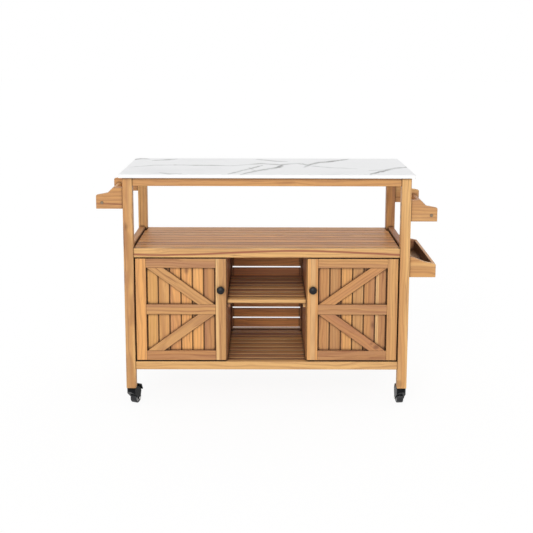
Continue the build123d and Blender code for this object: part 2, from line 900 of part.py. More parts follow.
def brake_lever():
    """Pedal that rises from a barrel, runs out and turns down to a lip.

    A lobe under the barrel meets the tread when the pedal is pressed down.
    """
    half = wheel_gap_half - brake_side_gap
    pivot = (brake_pivot_out, brake_pivot_height)
    knee = (pivot[0] + brake_pedal_lean, pivot[1] + brake_pedal_rise)
    brow = (knee[0] + brake_pedal_step_length, knee[1] - brake_pedal_step_drop)
    lip = (pivot[0] + brake_pedal_lip_out, pivot[1] - brake_pedal_lip_drop)
    lever = rod_y(pivot[0], (-half, half), pivot[1], brake_barrel_radius)
    for start, end in ((pivot, knee), (knee, brow), (brow, lip)):
        lever += bent_plate(start, end, half)
    lobe_angle = radians(brake_lobe_angle)
    lobe = (pivot[0] + brake_lobe_reach * cos(lobe_angle), pivot[1] + brake_lobe_reach * sin(lobe_angle))
    lever += rod_y(lobe[0], (-half, half), lobe[1], brake_lobe_radius)
    return lever + rod_y(pivot[0], (-fork_half_width, fork_half_width), pivot[1], brake_pin_radius)


def at_caster(place, shape):
    """A caster piece turned to its heading and set under its post."""
    y_word, x_word = place.split("_")
    x = post_x if x_word == "right" else -post_x
    y = post_y if y_word == "rear" else -post_y
    return Pos(x, y, 0) * Rot(0, 0, caster_heading[place]) * shape


# All the pieces, by the names of their nodes


def all_nodes():
    left_arms, left_bar = towel_rack(-1, left_arm_bottom)
    right_arms, right_bar = towel_rack(1, right_arm_bottom)
    nodes = {
        "worktop_slab": worktop_slab(),
        "worktop_battens": group(worktop_battens()),
        "post_front_left": post(-1, -1),
        "post_front_right": post(1, -1),
        "post_rear_left": post(-1, 1),
        "post_rear_right": post(1, 1),
        "top_apron_front": top_apron(-1),
        "top_apron_rear": top_apron(1),
        "shelf_rail_front": shelf_rail_front(),
        "shelf_rail_rear": shelf_rail_rear(),
        "bottom_rail_front": bottom_rail_front(),
        "bottom_rail_rear": bottom_rail_rear(),
        "side_rails": group(side_rails()),
        "shelf_slats": group(long_slats(shelf_top)),
        "floor_slats": group(long_slats(floor_top)),
        "shelf_cleats": group(shelf_cleats()),
        "partitions": group(partitions()),
        "corner_battens": group(corner_battens()),
        "back_boards": group(back_boards()),
        "side_boards": group(side_boards()),
        "bay_shelf_slats": group(bay_shelf_slats()),
        "bay_shelf_cleats": group(bay_shelf_cleats()),
        "towel_arms": group(left_arms + right_arms),
        "towel_bars": group([left_bar, right_bar]),
        "spice_rack_ends": group(spice_rack_ends()),
        "spice_rack_boards": group(spice_rack_boards()),
        "rack_screws": group(rack_screws()),
        "pivot_bushes": group(pivot_bushes()),
        "door_catches": group(door_catches()),
        "caster_stems": group([at_caster(place, caster_stem()) for place in caster_heading]),
    }
    door_pieces = {
        "stiles": door_stiles(),
        "rails": door_rails(),
        "slats": door_slats(),
        "braces": door_braces(),
        "knob": [door_knob()],
        "metalwork": door_metalwork(),
    }
    for word, pieces in door_pieces.items():
        nodes[f"door_right_{word}"] = group(pieces)
        nodes[f"door_left_{word}"] = group([mirrored(piece) for piece in pieces])
    for place in caster_heading:
        nodes[f"caster_fork_{place}"] = at_caster(place, caster_fork(place in braked_casters))
        nodes[f"caster_axle_{place}"] = at_caster(place, caster_axle())
        nodes[f"caster_tread_{place}"] = at_caster(place, caster_tread())
        nodes[f"caster_hub_{place}"] = at_caster(place, caster_hub())
    for place in braked_casters:
        nodes[f"brake_lever_{place}"] = at_caster(place, brake_lever())
    return nodes


os.makedirs("parts", exist_ok=True)
for name, shape in all_nodes().items():
    export_step(shape, f"parts/{name}.step")
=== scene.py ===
import math

import bpy
from mathutils import Matrix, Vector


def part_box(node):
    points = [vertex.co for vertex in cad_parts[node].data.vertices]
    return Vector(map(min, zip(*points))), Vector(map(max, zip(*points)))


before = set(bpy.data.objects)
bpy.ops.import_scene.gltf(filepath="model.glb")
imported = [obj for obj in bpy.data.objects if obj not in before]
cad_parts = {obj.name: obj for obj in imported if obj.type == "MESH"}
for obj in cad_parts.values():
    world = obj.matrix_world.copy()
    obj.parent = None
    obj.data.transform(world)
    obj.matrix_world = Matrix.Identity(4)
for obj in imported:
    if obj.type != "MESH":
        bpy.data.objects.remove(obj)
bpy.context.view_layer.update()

# Camera, fitted to the cart's corners in the photograph with the shift held small, so that
# almost all of the cart stays inside the picture when it is seen from other sides
PICTURE_SIZE = 533
CAMERA_PLACE = (-0.010, -3.859, 1.407)
CAMERA_PITCH = math.radians(9.43)
CAMERA_TURN = math.radians(-0.13)
CAMERA_ROLL = math.radians(0.13)
CAMERA_FOCUS_PIXELS = 971.9
CAMERA_SHIFT_UP = -0.12
SENSOR_WIDTH = 36

# Light, at a level where a colour renders about as it is written.
# Each lamp has a level, a turn round the cart, a height angle and a softness angle.
SKY_LEVEL = 0.55
LAMPS = {
    "key": (0.42, -10, 22, 50),
    "rear_fill": (0.14, 160, 35, 90),
    "left_glint": (0.05, -22, 30, 8),
    "right_glint": (0.05, 18, 33, 8),
}
FLOOR_REACH = 30
FLOOR_COLOUR = (0.86, 0.86, 0.86)
FLOOR_GLOW_SHARE = 0.88
FLOOR_GLOW = 1.04

# Wood colours, from brown heartwood to pale sapwood
HEARTWOOD = (0.445, 0.212, 0.106)
MIDDLE_WOOD = (0.640, 0.332, 0.122)
SAPWOOD = (0.780, 0.462, 0.182)
DARK_GRAIN = (0.240, 0.085, 0.042)
KNOT_BROWN = (0.085, 0.030, 0.020)
STREAK_RED = (0.300, 0.085, 0.050)
# Painted shade, for corners, gaps between boards and the rear edges of slats
PAINTED_SHADE_BROWN = (0.060, 0.025, 0.014)
# Pale sapwood stripes, also used for the painted highlight on the front edges of slats
PALE_STRIPE = (0.830, 0.520, 0.230)

# How one board's colour differs from the usual one
PLAIN = (1.00, 1.00, 1.00)
HONEY = (1.06, 1.02, 0.96)
BRIGHT = (1.14, 1.13, 1.06)
GOLDEN = (1.29, 1.24, 1.14)
YELLOW = (1.16, 1.20, 1.06)
PINKISH = (0.88, 0.83, 0.86)
DARK_PINK = (0.76, 0.71, 0.75)
PURPLISH = (0.78, 0.74, 0.84)
GREYISH = (0.90, 0.92, 0.98)
REDDISH = (0.96, 0.89, 0.88)
WARM = (1.07, 0.99, 0.88)
AMBER = (1.20, 1.12, 0.97)
RUSSET = (0.84, 0.75, 0.71)
RUSTY = (1.38, 1.22, 1.12)
SANDY = (0.97, 0.99, 1.04)
PALE_SAND = (1.08, 1.13, 1.14)

# Stone colours
STONE_WHITE = (0.868, 0.870, 0.876)
# Painted light: the paler colour of the worktop's steep side faces
STONE_EDGE_PAINTED_LIGHT = (0.925, 0.925, 0.920)
STONE_CLOUD = (0.760, 0.765, 0.775)
STONE_VEIN = (0.220, 0.215, 0.210)

X, Y, Z = 0, 1, 2

# Places of the colour sockets on Blender's Mix node
MIX_SHARE = 0
MIX_FIRST = 6
MIX_SECOND = 7
MIX_RESULT = 2


class Tree:
    """A material's node tree, with a short way to write each kind of node."""

    def __init__(self, name):
        self.material = bpy.data.materials.new(name)
        self.material.use_nodes = True
        self.nodes = self.material.node_tree.nodes
        self.links = self.material.node_tree.links
        self.shader = self.nodes["Principled BSDF"]

    def feed(self, socket, value):
        if isinstance(value, bpy.types.NodeSocket):
            self.links.new(value, socket)
        elif hasattr(value, "__len__") and len(value) == 3 and len(socket.default_value) == 4:
            socket.default_value = (*value, 1)
        else:
            socket.default_value = value

    def add(self, kind, settings=None, inputs=None):
        node = self.nodes.new(kind)
        for name, value in (settings or {}).items():
            setattr(node, name, value)
        for name, value in (inputs or {}).items():
            self.feed(node.inputs[name], value)
        return node

    def math(self, operation, *values, clamp=False):
        node = self.add("ShaderNodeMath", {"operation": operation, "use_clamp": clamp})
        for socket, value in zip(node.inputs, values):
            self.feed(socket, value)
        return node.outputs[0]

    def sway(self, value, reach, middle=0.0):
        """Spreads a value from 0 to 1 over a reach, half of it on each side of a middle."""
        return self.math("MULTIPLY_ADD", self.math("SUBTRACT", value, 0.5), reach, middle)

    def place(self):
        """Where a point lies in the cart's own frame, in metres, as three values."""
        place = self.add("ShaderNodeTexCoord").outputs["Object"]
        return list(self.add("ShaderNodeSeparateXYZ", inputs={"Vector": place}).outputs)

    def join(self, x, y, z):
        return self.add("ShaderNodeCombineXYZ", inputs={"X": x, "Y": y, "Z": z}).outputs[0]

    def noise(self, vector, scale=1.0, detail=2.0, roughness=0.5):
        inputs = {"Vector": vector, "Scale": scale, "Detail": detail, "Roughness": roughness}
        return self.add("ShaderNodeTexNoise", inputs=inputs).outputs["Fac"]

    def step(self, value, low, high, start=0.0, end=1.0):
        """A smooth step from start to end as the value goes from low to high."""
        inputs = {"Value": value, "From Min": low, "From Max": high, "To Min": start, "To Max": end}
        return self.add("ShaderNodeMapRange", {"interpolation_type": "SMOOTHSTEP"}, inputs).outputs[0]

    def mix(self, factor, first, second, blend="MIX"):
        node = self.add("ShaderNodeMix", {"data_type": "RGBA", "blend_type": blend})
        self.feed(node.inputs[MIX_SHARE], factor)
        self.feed(node.inputs[MIX_FIRST], first)
        self.feed(node.inputs[MIX_SECOND], second)
        return node.outputs[MIX_RESULT]

    def tinge(self, colour, mask, depth, target):
        """Moves a colour towards a target by a mask and a depth, each from 0 to 1."""
        return self.mix(self.math("MULTIPLY", mask, depth), colour, target)

    def ramp(self, factor, stops, interpolation="LINEAR"):
        node = self.add("ShaderNodeValToRGB", inputs={"Fac": factor})
        node.color_ramp.interpolation = interpolation
        while len(node.color_ramp.elements) < len(stops):
            node.color_ramp.elements.new(1)
        for element, (position, colour) in zip(node.color_ramp.elements, stops):
            element.position = position
            element.color = (*colour, 1)
        return node.outputs[0]

    def bump(self, height, distance, normal=None):
        inputs = {"Height": height, "Distance": distance}
        if normal is not None:
            inputs["Normal"] = normal
        return self.add("ShaderNodeBump", inputs=inputs).outputs[0]

    def finish(self, **sockets):
        """Sets the shader's sockets, named with underscores for spaces."""
        for name, value in sockets.items():
            self.feed(self.shader.inputs[name.replace("_", " ")], value)
        return self.material


# Wood

# Noise in the grain: its repeats in a metre along and across the grain, its detail and its roughness
WANDER = (2.2, 7.0, 3.0, 0.5)
BELT = (0.7, 20.0, 2.0, 0.5)
BAND = (0.9, 58.0, 3.0, 0.5)
LINE = (1.6, 130.0, 4.0, 0.6)
FIBRE = (14.0, 900.0, 3.0, 0.5)

# Where each mark in the grain starts to show and is full, and how deep its colour is
RING_FADE = (0.1, 1.0)
RING_DEPTH = 0.20
BAND_FADE = (0.40, 0.68)
BAND_DEPTH = 0.26
LINE_FADE = (0.54, 0.76)
LINE_DEPTH = 0.50
KNOT_FADE = (0.10, 0.02)
KNOT_DEPTH = 0.75

# How far apart the shades of the palest and the darkest fibres can be
FIBRE_DEPTH = 0.34

# Painted shade in corners and gaps, and eased edges: where each starts to show and is full, how deep its
# colour is, and its samples
PAINTED_SHADE_FADE = (0.92, 0.42)
PAINTED_SHADE_DEPTH = 0.90
PAINTED_SHADE_SAMPLES = 8
EDGE_FADE = (0.995, 0.86)
EDGE_DEPTH = 0.16
BEVEL_SAMPLES = 4

# The wood's surface: relief of fibres and dark lines, height of the relief in metres, roughness and gloss
FIBRE_RELIEF = 0.6
LINE_RELIEF = -0.5
RELIEF_HEIGHT = 0.00035
WOOD_ROUGHNESS = 0.38
FIBRE_ROUGHNESS = 0.16
EDGE_ROUGHNESS = -0.06
WOOD_GLOSS = 0.24

# How boards differ: their random values, and the spread of the places in the tree that they are cut from
SEED_STEP = 3.1
AXIS_SEED = 0.37
CUT_SPREAD = 7.0

# Share of a board that keeps its lowest face from being counted with the board below
BOARD_MARGIN = 0.001

# How far the grain wanders in metres, and how close the growth rings are, in radians of a wave to a metre
WANDER_BEND = 0.045
RING_RATE = 520.0

# How much sapwood a board has: the spread from board to board, and within a board that has a tint
LEAN_MIDDLE = 0.45
FREE_LEAN = 0.42
TINTED_LEAN = 0.12
TINTED_BELT = 0.55
SAPWOOD_FADE = (0.28, 0.74)
SAPWOOD_STOPS = ((0.0, HEARTWOOD), (0.36, MIDDLE_WOOD), (0.66, MIDDLE_WOOD), (1.0, SAPWOOD))

# Scattered knots: repeats in a metre along and across the grain, and the share of places without one
KNOT_ALONG = 3.2
KNOT_ACROSS = 9.0
KNOT_RARITY = 0.86

# Knots put at a place: how ragged they are, and where they fade, both in half sizes of the knot
PLACED_KNOT_RAGGED = 2.2
PLACED_KNOT_FADE = (1.1, 0.1)

# Pale stripes up a board: how far their edges waver, how wide they fade, and how pale they are
STRIPE_WAVER = 0.010
STRIPE_FADE = 0.002
STRIPE_DEPTH = 0.85

# The streak along the shelf rail: where it is highest, how fast it waves in radians to a metre, its middle
# height and its rise, how far it wobbles, where it fades to each side and how deep its colour is
STREAK_CREST = 0.127
STREAK_TURN = 6.3
STREAK_HEIGHT = 0.611
STREAK_RISE = 0.009
STREAK_WOBBLE = 0.012
STREAK_FADE = (0.0065, 0.0010)
STREAK_DEPTH = 0.85

# Painted light on slat tops: how far a face turns up, where the front highlight and rear shade fade, as
# shares of the way to the next slat
TOP_FACING = (0.5, 0.9)
PALE_FRONT = (0.28, 0.10)
DARK_REAR = (0.66, 0.88)

# Slope of the doors' braces
BRACE_SLOPE = math.radians(36.4)

# What a piece has where no table says otherwise
USUAL_CONTRAST = 1.3
USUAL_EDGE_ROUND = 0.003
USUAL_PAINTED_SHADE_REACH = 0.015


def board_index(tree, place, node, parts):
    """A vector that is the same all over one board and different on the next.

    parts gives, for an axis, how many boards the node has side by side along it.
    """
    low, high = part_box(node)
    index = [0.0, 0.0, 0.0]
    for axis, count in parts.items():
        pitch = (high[axis] - low[axis]) / count
        steps = tree.math("DIVIDE", tree.math("SUBTRACT", place[axis], low[axis]), pitch)
        index[axis] = tree.math("FLOOR", tree.math("ADD", steps, BOARD_MARGIN))
    return index


def board_luck(tree, index, seed):
    """Three random values and one more, each the same all over a board."""
    key = tree.join(*[tree.math("ADD", value, seed + AXIS_SEED * axis) for axis, value in enumerate(index)])
    chance = tree.add("ShaderNodeTexWhiteNoise", {"noise_dimensions": "3D"}, {"Vector": key})
    luck = tree.add("ShaderNodeSeparateColor", inputs={"Color": chance.outputs["Color"]})
    return list(luck.outputs), chance.outputs["Value"]


def brace_axes(tree, place, node):
    """Lengthwise and crosswise places on the two slanted braces of a door."""
    low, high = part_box(node)
    cosine = math.cos(BRACE_SLOPE)
    sine = math.sin(BRACE_SLOPE)
    side = 1 if low.x > 0 else -1
    across = tree.math("MULTIPLY", place[X], side)
    rise = tree.math("ABSOLUTE", tree.math("SUBTRACT", place[Z], (low.z + high.z) / 2))
    along = tree.math("ADD", tree.math("MULTIPLY", across, cosine), tree.math("MULTIPLY", rise, sine))
    square = tree.math("SUBTRACT", tree.math("MULTIPLY", rise, cosine), tree.math("MULTIPLY", across, sine))
    return along, square, place[Y]


def grain_axes(tree, place, node, grain):
    """The places along the grain and in the two directions across it."""
    if grain == "brace":
        return brace_axes(tree, place, node)
    return place[grain], place[(grain + 1) % 3], place[(grain + 2) % 3]


def stretched(tree, axes, along_repeats, across_repeats):
    """A place in a pattern that repeats at one rate along the grain and at another across it."""
    along, first, second = axes
    return tree.join(
        tree.math("MULTIPLY", along, along_repeats),
        tree.math("MULTIPLY", first, across_repeats),
        tree.math("MULTIPLY", second, across_repeats),
    )


def grain_noise(tree, axes, pattern):
    along_repeats, across_repeats, detail, roughness = pattern
    where = stretched(tree, axes, along_repeats, across_repeats)
    return tree.noise(where, detail=detail, roughness=roughness)


def cut_from_tree(tree, axes, luck):
    """Places in the tree that a board is cut from, where the grain wanders, and the wandering itself."""
    along, first, second = [
        tree.math("MULTIPLY_ADD", share, CUT_SPREAD, axis) for share, axis in zip(luck, axes)
    ]
    wander = grain_noise(tree, (along, first, second), WANDER)
    bend = tree.sway(wander, WANDER_BEND)
    return (along, tree.math("ADD", first, bend), tree.math("ADD", second, bend)), wander


def heart_to_sap(tree, axes, chance, tone, tinted):
    """Sapwood and heartwood side by side along the board. They vary less where boards have tints."""
    belt = grain_noise(tree, axes, BELT)
    if tinted:
        belt = tree.sway(belt, TINTED_BELT, 0.5)
    reach = TINTED_LEAN if tinted else FREE_LEAN
    lean = tree.math("MULTIPLY", tree.math("SUBTRACT", chance, LEAN_MIDDLE), reach)
    kind = tree.math("ADD", tree.math("ADD", belt, lean), tone)
    return tree.ramp(tree.step(kind, *SAPWOOD_FADE), SAPWOOD_STOPS)


def board_tint(tree, index, parts, tints):
    """One tint for each board, counted along the first axis that the boards are side by side on."""
    axis = next(iter(parts))
    share = tree.math("DIVIDE", tree.math("ADD", index[axis], 0.5), parts[axis])
    stops = [(number / len(tints), tint) for number, tint in enumerate(tints)]
    return tree.ramp(share, stops, "CONSTANT")


def sapwood_stripe(tree, place, stripe, wander):
    """A pale stripe up a board, between two sideways places, with a wavering edge."""
    low, high = stripe
    half_fade = STRIPE_FADE / 2
    x = tree.math("ADD", place[X], tree.sway(wander, STRIPE_WAVER))
    left_edge = tree.step(x, low, low + STRIPE_FADE)
    right_edge = tree.step(x, high + half_fade, high - half_fade)
    return tree.math("MULTIPLY", left_edge, right_edge)


def growth_rings(tree, axes):
    """Dark late wood, as bands round a pith that lies outside the board."""
    _, first, second = axes
    radius = tree.math("SQRT", tree.math(
        "ADD", tree.math("POWER", tree.math("ABSOLUTE", first), 2.0),
        tree.math("POWER", tree.math("ABSOLUTE", second), 2.0),
    ))
    return tree.step(tree.math("SINE", tree.math("MULTIPLY", radius, RING_RATE)), *RING_FADE)


def scattered_knots(tree, axes):
    """A mask of scattered knots, stretched along the grain."""
    where = stretched(tree, axes, KNOT_ALONG, KNOT_ACROSS)
    cells = tree.add("ShaderNodeTexVoronoi", inputs={"Vector": where, "Scale": 1.0, "Randomness": 1.0})
    chance = tree.add("ShaderNodeSeparateColor", inputs={"Color": cells.outputs["Color"]}).outputs[0]
    chosen = tree.math("GREATER_THAN", chance, KNOT_RARITY)
    return tree.math("MULTIPLY", tree.step(cells.outputs["Distance"], *KNOT_FADE), chosen)


def placed_knot(tree, place, spot, wander):
    """A dark mark at one place on the front, from its place, half sizes and strength."""
    x, z, half_width, half_height, strength = spot
    across = tree.math("DIVIDE", tree.math("SUBTRACT", place[X], x), half_width)
    up = tree.math("DIVIDE", tree.math("SUBTRACT", place[Z], z), half_height)
    away = tree.math("SQRT", tree.math(
        "ADD", tree.math("MULTIPLY", across, across), tree.math("MULTIPLY", up, up)
    ))
    return tree.step(tree.sway(wander, PLACED_KNOT_RAGGED, away), *PLACED_KNOT_FADE, 0.0, strength)


def red_streak(tree, place, wander):
    """A reddish streak that rises and falls along the shelf rail."""
    turn = tree.math("MULTIPLY", tree.math("SUBTRACT", place[X], STREAK_CREST), STREAK_TURN)
    middle = tree.math("MULTIPLY_ADD", tree.math("COSINE", turn), STREAK_RISE, STREAK_HEIGHT)
    height = tree.math("ADD", place[Z], tree.sway(wander, STREAK_WOBBLE))
    return tree.step(tree.math("ABSOLUTE", tree.math("SUBTRACT", height, middle)), *STREAK_FADE)


def painted_corner_shade(tree, reach):
    """How deep a point lies in a corner or a gap between boards, as a mask for painted shade there."""
    open_sky = tree.add("ShaderNodeAmbientOcclusion", {"samples": PAINTED_SHADE_SAMPLES}, {"Distance": reach})
    return tree.step(open_sky.outputs["AO"], *PAINTED_SHADE_FADE)


def facing_up(tree):
    """How far a surface faces up, from -1 to 1."""
    normal = tree.add("ShaderNodeNewGeometry").outputs["True Normal"]
    return tree.add("ShaderNodeSeparateXYZ", inputs={"Vector": normal}).outputs["Z"]


def slat_edges(tree, place, node, count, colour):
    """A slat seen from above gets a painted highlight along its front edge and painted shade along its rear
    edge.
    """
    gap, pale, dark = SLAT_EDGES[node]
    low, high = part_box(node)
    pitch = (high.y - low.y + gap) / count
    back = tree.math("FLOORED_MODULO", tree.math("SUBTRACT", place[Y], low.y), pitch)
    top = tree.step(facing_up(tree), *TOP_FACING)
    painted_front_highlight = tree.step(back, *[pitch * share for share in PALE_FRONT])
    painted_rear_shade = tree.step(back, *[pitch * share for share in DARK_REAR])
    colour = tree.tinge(colour, tree.math("MULTIPLY", painted_front_highlight, pale), top, PALE_STRIPE)
    return tree.tinge(colour, tree.math("MULTIPLY", painted_rear_shade, dark), top, PAINTED_SHADE_BROWN)


def eased_edges(tree, radius):
    """The direction that a surface faces with its edges rounded, and a mask of those edges."""
    soft = tree.add("ShaderNodeBevel", {"samples": BEVEL_SAMPLES}, {"Radius": radius}).outputs[0]
    flat = tree.add("ShaderNodeNewGeometry").outputs["True Normal"]
    facing = tree.add("ShaderNodeVectorMath", {"operation": "DOT_PRODUCT"})
    tree.feed(facing.inputs[0], soft)
    tree.feed(facing.inputs[1], flat)
    return soft, tree.step(facing.outputs["Value"], *EDGE_FADE)


def grain_marks(tree, node, axes, colour):
    """Growth rings, broad bands and thin dark lines over a board's colour, and a mask of those lines."""
    contrast = CONTRAST.get(node, USUAL_CONTRAST)
    bands = tree.step(grain_noise(tree, axes, BAND), *BAND_FADE)
    lines = tree.step(grain_noise(tree, axes, LINE), *LINE_FADE)
    colour = tree.tinge(colour, growth_rings(tree, axes), RING_DEPTH * contrast, DARK_GRAIN)
    colour = tree.tinge(colour, bands, BAND_DEPTH * contrast, HEARTWOOD)
    return tree.tinge(colour, lines, LINE_DEPTH * contrast, DARK_GRAIN), lines


def single_marks(tree, node, place, axes, wander, colour):
    """The shelf rail's streak, scattered knots and placed knots over a board's colour."""
    if node == "shelf_rail_front":
        colour = tree.tinge(colour, red_streak(tree, place, wander), STREAK_DEPTH, STREAK_RED)
    colour = tree.tinge(colour, scattered_knots(tree, axes), KNOT_DEPTH, KNOT_BROWN)
    for spot in SPOTS.get(node, ()):
        colour = tree.mix(placed_knot(tree, place, spot, wander), colour, KNOT_BROWN)
    return colour


def wear_and_painted_light(tree, node, place, parts, edge, colour):
    """Paler worn eased edges, the painted highlight and painted shade on the tops of slats, and painted shade
    in corners and gaps, over a board's colour.
    """
    colour = tree.tinge(colour, edge, EDGE_DEPTH, SAPWOOD)
    if node in SLAT_EDGES:
        colour = slat_edges(tree, place, node, parts[Y], colour)
    # Painted shade in corners and gaps between boards, by how enclosed a point is
    painted_seam_shade = painted_corner_shade(tree, PAINTED_SHADE_REACH.get(node, USUAL_PAINTED_SHADE_REACH))
    return tree.tinge(colour, painted_seam_shade, PAINTED_SHADE_DEPTH, PAINTED_SHADE_BROWN)


def wood(node, grain, parts, tone, seed):
    """Oiled acacia: sapwood beside heartwood, growth rings, dark grain lines, fibres and a few knots."""
    tree = Tree(f"acacia_{node}")
    place = tree.place()
    index = board_index(tree, place, node, parts)
    luck, chance = board_luck(tree, index, seed)
    axes, wander = cut_from_tree(tree, grain_axes(tree, place, node, grain), luck)

    colour = heart_to_sap(tree, axes, chance, tone, node in TINTS)
    if node in TINTS:
        colour = tree.mix(1.0, colour, board_tint(tree, index, parts, TINTS[node]), "MULTIPLY")
    for stripe in STRIPES.get(node, ()):
        colour = tree.tinge(colour, sapwood_stripe(tree, place, stripe, wander), STRIPE_DEPTH, PALE_STRIPE)
    colour, lines = grain_marks(tree, node, axes, colour)
    colour = single_marks(tree, node, place, axes, wander, colour)
    fibres = grain_noise(tree, axes, FIBRE)
    shade = tree.sway(fibres, FIBRE_DEPTH, 1.0)
    colour = tree.mix(1.0, colour, tree.join(shade, shade, shade), "MULTIPLY")

    # Eased edges are handled more, so they are a little paler and smoother
    soft, edge = eased_edges(tree, EDGE_ROUND.get(node, USUAL_EDGE_ROUND))
    relief = tree.math("MULTIPLY_ADD", fibres, FIBRE_RELIEF, tree.math("MULTIPLY", lines, LINE_RELIEF))
    rough = tree.math("MULTIPLY_ADD", fibres, FIBRE_ROUGHNESS, WOOD_ROUGHNESS)
    return tree.finish(
        Base_Color=wear_and_painted_light(tree, node, place, parts, edge, colour),
        Roughness=tree.math("MULTIPLY_ADD", edge, EDGE_ROUGHNESS, rough),
        Normal=tree.bump(relief, RELIEF_HEIGHT, soft), Specular_IOR_Level=WOOD_GLOSS,
    )


# Stone worktop

# Noise in the stone: its scale, detail and roughness
WIDE_BENDS = (5.0, 4.0, 0.55)
FINE_BENDS = (38.0, 3.0, 0.5)
RAGGED_EDGES = (30.0, 5.0, 0.65)
PATCHES = (9.0, 3.0, 0.5)
CLOUDS = (3.4, 5.0, 0.6)
GRAINS = (420.0, 2.0, 0.5)

# How far the veins are bent in metres, how ragged their edges are in half widths, how they and the clouds
# fade, and how deep the colour of the clouds and of the veins' halo is
WIDE_BEND = 0.036
FINE_BEND = 0.014
RAGGED = 2.4
PATCH_FADE = (0.34, 0.58)
FAINTEST_PATCH = 0.45
CLOUD_FADE = (0.50, 0.74)
CLOUD_DEPTH = 0.55
VEIN_FADE = (1.45, 0.30)
HALO_FADE = (3.6, 0.0)
HALO_DEPTH = 0.40

# How far up a face looks where the painted light on the worktop's steep side faces starts, and where it is
# full
STEEP_FACE = (0.7, 0.2)

# The polished surface: height of its relief in metres, roughness and gloss
GRAIN_HEIGHT = 0.00002
STONE_ROUGHNESS = 0.40
GRAIN_ROUGHNESS = 0.08
STONE_GLOSS = 0.3

# How thin a vein is at its two ends, as a share of its width
VEIN_END = 0.45

# Veins as places on the worktop in metres from its middle, with half width and strength
VEINS = (
    (((-0.56, 0.20), (-0.53, 0.24), (-0.50, 0.23)), 0.016, 0.80),
    (((-0.47, 0.18), (-0.42, 0.20), (-0.38, 0.23)), 0.016, 0.85),
    (((-0.54, -0.04), (-0.45, 0.02), (-0.37, 0.03)), 0.013, 0.35),
    (((-0.37, 0.03), (-0.21, 0.02), (-0.14, 0.01)), 0.013, 0.75),
    (((-0.14, 0.01), (-0.02, 0.08), (0.05, 0.04), (0.12, 0.08), (0.16, 0.03)), 0.012, 0.70),
    (((-0.41, -0.21), (-0.37, -0.24), (-0.33, -0.23)), 0.014, 0.55),
    (((-0.15, -0.24), (-0.12, -0.19), (-0.05, -0.05), (-0.02, 0.02)), 0.009, 0.65),
    (((-0.10, -0.25), (-0.04, -0.15), (0.02, -0.07), (0.05, -0.04), (0.06, 0.04)), 0.012, 1.00),
    (((-0.07, -0.05), (-0.04, -0.15)), 0.006, 0.60),
    (((-0.04, 0.22), (0.04, 0.16), (0.08, 0.15)), 0.014, 0.80),
    (((0.14, -0.05), (0.16, 0.01), (0.14, 0.08)), 0.008, 0.75),
    (((0.16, 0.03), (0.21, 0.11), (0.26, 0.15), (0.34, 0.23)), 0.014, 1.00),
    (((0.16, 0.01), (0.26, -0.05), (0.35, -0.08)), 0.011, 0.60),
    (((0.39, -0.24), (0.42, -0.19), (0.46, -0.12)), 0.010, 1.00),
    (((0.40, -0.13), (0.46, -0.11)), 0.010, 0.60),
    (((0.44, -0.17), (0.48, -0.09), (0.51, -0.06), (0.56, -0.02)), 0.011, 0.90),
)


def vein_distance(tree, x, y, points, width):
    """How far a point is from a vein, in half widths of the vein, which is thinner at its ends."""
    widths = [width] * len(points)
    widths[0] = widths[-1] = width * VEIN_END
    nearest = None
    for number, (start, end) in enumerate(zip(points, points[1:])):
        run = (end[0] - start[0], end[1] - start[1])
        square = run[0] ** 2 + run[1] ** 2
        dx = tree.math("SUBTRACT", x, start[0])
        dy = tree.math("SUBTRACT", y, start[1])
        ahead = tree.math("MULTIPLY_ADD", dx, run[0] / square, tree.math("MULTIPLY", dy, run[1] / square))
        share = tree.math("ADD", ahead, 0.0, clamp=True)
        off_x = tree.math("MULTIPLY_ADD", share, -run[0], dx)
        off_y = tree.math("MULTIPLY_ADD", share, -run[1], dy)
        away = tree.math("SQRT", tree.math("MULTIPLY_ADD", off_x, off_x, tree.math("MULTIPLY", off_y, off_y)))
        half = tree.math("MULTIPLY_ADD", share, widths[number + 1] - widths[number], widths[number])
        ratio = tree.math("DIVIDE", away, half)
        nearest = ratio if nearest is None else tree.math("MINIMUM", nearest, ratio)
    return nearest


def stone_colour(tree, place, spot):
    """White stone with clouds, veins that fade in patches and have a faint halo, and painted light that makes
    its steep side faces paler than its top.
    """
    wide = tree.sway(tree.noise(spot, *WIDE_BENDS), WIDE_BEND)
    fine = tree.sway(tree.noise(spot, *FINE_BENDS), FINE_BEND)
    x = tree.math("ADD", tree.math("ADD", place[X], wide), fine)
    y = tree.math("SUBTRACT", tree.math("ADD", place[Y], wide), fine)
    patchy = tree.step(tree.noise(spot, *PATCHES), *PATCH_FADE, FAINTEST_PATCH, 1.0)
    cloud = tree.step(tree.noise(spot, *CLOUDS), *CLOUD_FADE, 0.0, CLOUD_DEPTH)
    ragged = tree.sway(tree.noise(spot, *RAGGED_EDGES), RAGGED)
    colour = tree.mix(cloud, STONE_WHITE, STONE_CLOUD)
    for points, width, strength in VEINS:
        away = vein_distance(tree, x, y, points, width)
        halo = tree.step(away, *HALO_FADE)
        core = tree.step(tree.math("ADD", away, ragged), *VEIN_FADE, 0.0, strength)
        colour = tree.tinge(colour, halo, HALO_DEPTH * strength, STONE_CLOUD)
        colour = tree.tinge(colour, core, patchy, STONE_VEIN)
    # Painted light: steep side faces get a paler colour than the top
    return tree.mix(tree.step(facing_up(tree), *STEEP_FACE), colour, STONE_EDGE_PAINTED_LIGHT)


